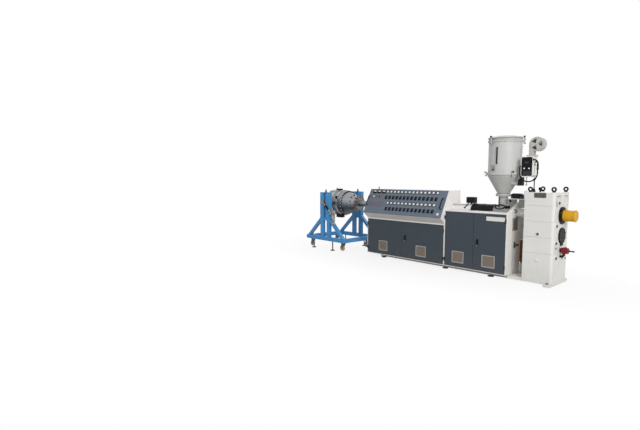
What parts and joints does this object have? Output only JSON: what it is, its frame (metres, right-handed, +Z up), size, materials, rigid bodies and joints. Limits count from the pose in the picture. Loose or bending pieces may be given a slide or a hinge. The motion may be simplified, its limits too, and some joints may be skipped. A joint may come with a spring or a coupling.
{
  "type": "plastic extruder",
  "caption": "Single-screw plastic extruder with control console, door cabinets, gearbox, hopper dryer and a pipe die held on a wheeled trolley.",
  "frame": {"origin": "on the floor under the middle of the machine's bounding box, below the screw axis", "axes": "+X along the screw from the die towards the gearbox, -Y the side with the doors, +Z up"},
  "size_m": [5.9564, 1.2096, 2.438],
  "materials": {
    "white_paint": "satin enamel",
    "slate_paint": "satin powder coat",
    "panel_paint": "satin powder coat",
    "blue_paint": "gloss enamel",
    "hopper_paint": "satin enamel",
    "yellow_cap": "gloss",
    "red_paint": "gloss enamel",
    "orange_paint": "satin enamel",
    "machined_steel": "turned",
    "dark_steel": "oiled",
    "black_plastic": "matte",
    "heater_band": "heat tinted",
    "display_face": "gloss",
    "wheel_nylon": "satin"
  },
  "bodies": {
    "machine": {"base_frame": "white_paint", "levelling_feet": "dark_steel", "console_body": "white_paint", "console_panel": "panel_paint", "panel_displays": "display_face", "panel_switches": "black_plastic", "panel_bow_handles": "black_plastic", "cabinet_body": "white_paint", "door_hinges": "black_plastic", "side_vent": "white_paint", "isolator_base": "dark_steel", "barrel": "machined_steel", "heater_bands": "heater_band", "heater_cover": "black_plastic", "barrel_guard": "white_paint", "terminal_box": "black_plastic", "feed_section": "machined_steel", "thrust_housing": "white_paint", "coupling_guard": "orange_paint", "gearbox_housing": "white_paint", "gearbox_covers": "black_plastic", "screw_end_cap": "yellow_cap", "oil_pump": "red_paint", "oil_pipes": "dark_steel", "lifting_eyes": "dark_steel", "hopper_cone": "hopper_paint", "hopper_cylinder": "hopper_paint", "hopper_lid": "hopper_paint", "hopper_clamps": "dark_steel", "sight_glass": "black_plastic", "dryer_box": "white_paint", "dryer_box_panel": "black_plastic", "dryer_blower": "hopper_paint", "dryer_hoses": "black_plastic", "hot_air_elbow": "black_plastic", "dryer_bracket": "white_paint", "throat_bracket": "white_paint", "gate_cover": "black_plastic", "die_adapter": "machined_steel", "die_body": "machined_steel", "die_bush": "machined_steel", "die_mandrel": "machined_steel", "die_trunnions": "dark_steel", "adjusting_screws": "dark_steel", "near_trestle": "blue_paint", "far_trestle": "blue_paint", "trolley_crossbeams": "blue_paint"},
    "console_door_left": {"console_door_left": "slate_paint"},
    "console_door_right": {"console_door_right": "slate_paint"},
    "cabinet_door_left": {"cabinet_door_left": "slate_paint"},
    "cabinet_door_right": {"cabinet_door_right": "slate_paint"},
    "isolator_lever": {"isolator_lever": "dark_steel"},
    "caster_1": {"caster_fork_1": "dark_steel"},
    "wheel_1": {"caster_wheel_1": "wheel_nylon"},
    "caster_2": {"caster_fork_2": "dark_steel"},
    "wheel_2": {"caster_wheel_2": "wheel_nylon"},
    "caster_3": {"caster_fork_3": "dark_steel"},
    "wheel_3": {"caster_wheel_3": "wheel_nylon"},
    "caster_4": {"caster_fork_4": "dark_steel"},
    "wheel_4": {"caster_wheel_4": "wheel_nylon"}
  },
  "joints": [
    {"name": "console_door_left_swing", "type": "hinge", "parent": "machine", "child": "console_door_left", "pos_m": [-1.04226, -0.3893, 0.45], "axis": [0, 0, -1], "range_deg": [0, 90]},
    {"name": "console_door_right_swing", "type": "hinge", "parent": "machine", "child": "console_door_right", "pos_m": [0.87174, -0.3893, 0.45], "axis": [0, 0, 1], "range_deg": [0, 90]},
    {"name": "cabinet_door_left_swing", "type": "hinge", "parent": "machine", "child": "cabinet_door_left", "pos_m": [0.90074, -0.3893, 0.57], "axis": [0, 0, -1], "range_deg": [0, 90]},
    {"name": "cabinet_door_right_swing", "type": "hinge", "parent": "machine", "child": "cabinet_door_right", "pos_m": [2.05174, -0.3893, 0.57], "axis": [0, 0, 1], "range_deg": [0, 90]},
    {"name": "isolator_turn", "type": "hinge", "parent": "machine", "child": "isolator_lever", "pos_m": [2.08424, -0.084, 0.57], "axis": [1, 0, 0], "range_deg": [0, 90]},
    {"name": "caster_1_swivel", "type": "hinge", "parent": "machine", "child": "caster_1", "pos_m": [-2.87224, -0.42, 0.2], "axis": [0, 0, 1], "continuous": true},
    {"name": "wheel_1_roll", "type": "hinge", "parent": "caster_1", "child": "wheel_1", "pos_m": [-2.91024, -0.42, 0.074], "axis": [0, 1, 0], "continuous": true},
    {"name": "caster_2_swivel", "type": "hinge", "parent": "machine", "child": "caster_2", "pos_m": [-2.87224, 0.42, 0.2], "axis": [0, 0, 1], "continuous": true},
    {"name": "wheel_2_roll", "type": "hinge", "parent": "caster_2", "child": "wheel_2", "pos_m": [-2.91024, 0.42, 0.074], "axis": [0, 1, 0], "continuous": true},
    {"name": "caster_3_swivel", "type": "hinge", "parent": "machine", "child": "caster_3", "pos_m": [-1.77624, -0.42, 0.2], "axis": [0, 0, 1], "continuous": true},
    {"name": "wheel_3_roll", "type": "hinge", "parent": "caster_3", "child": "wheel_3", "pos_m": [-1.81424, -0.42, 0.074], "axis": [0, 1, 0], "continuous": true},
    {"name": "caster_4_swivel", "type": "hinge", "parent": "machine", "child": "caster_4", "pos_m": [-1.77624, 0.42, 0.2], "axis": [0, 0, 1], "continuous": true},
    {"name": "wheel_4_roll", "type": "hinge", "parent": "caster_4", "child": "wheel_4", "pos_m": [-1.81424, 0.42, 0.074], "axis": [0, 1, 0], "continuous": true}
  ]
}
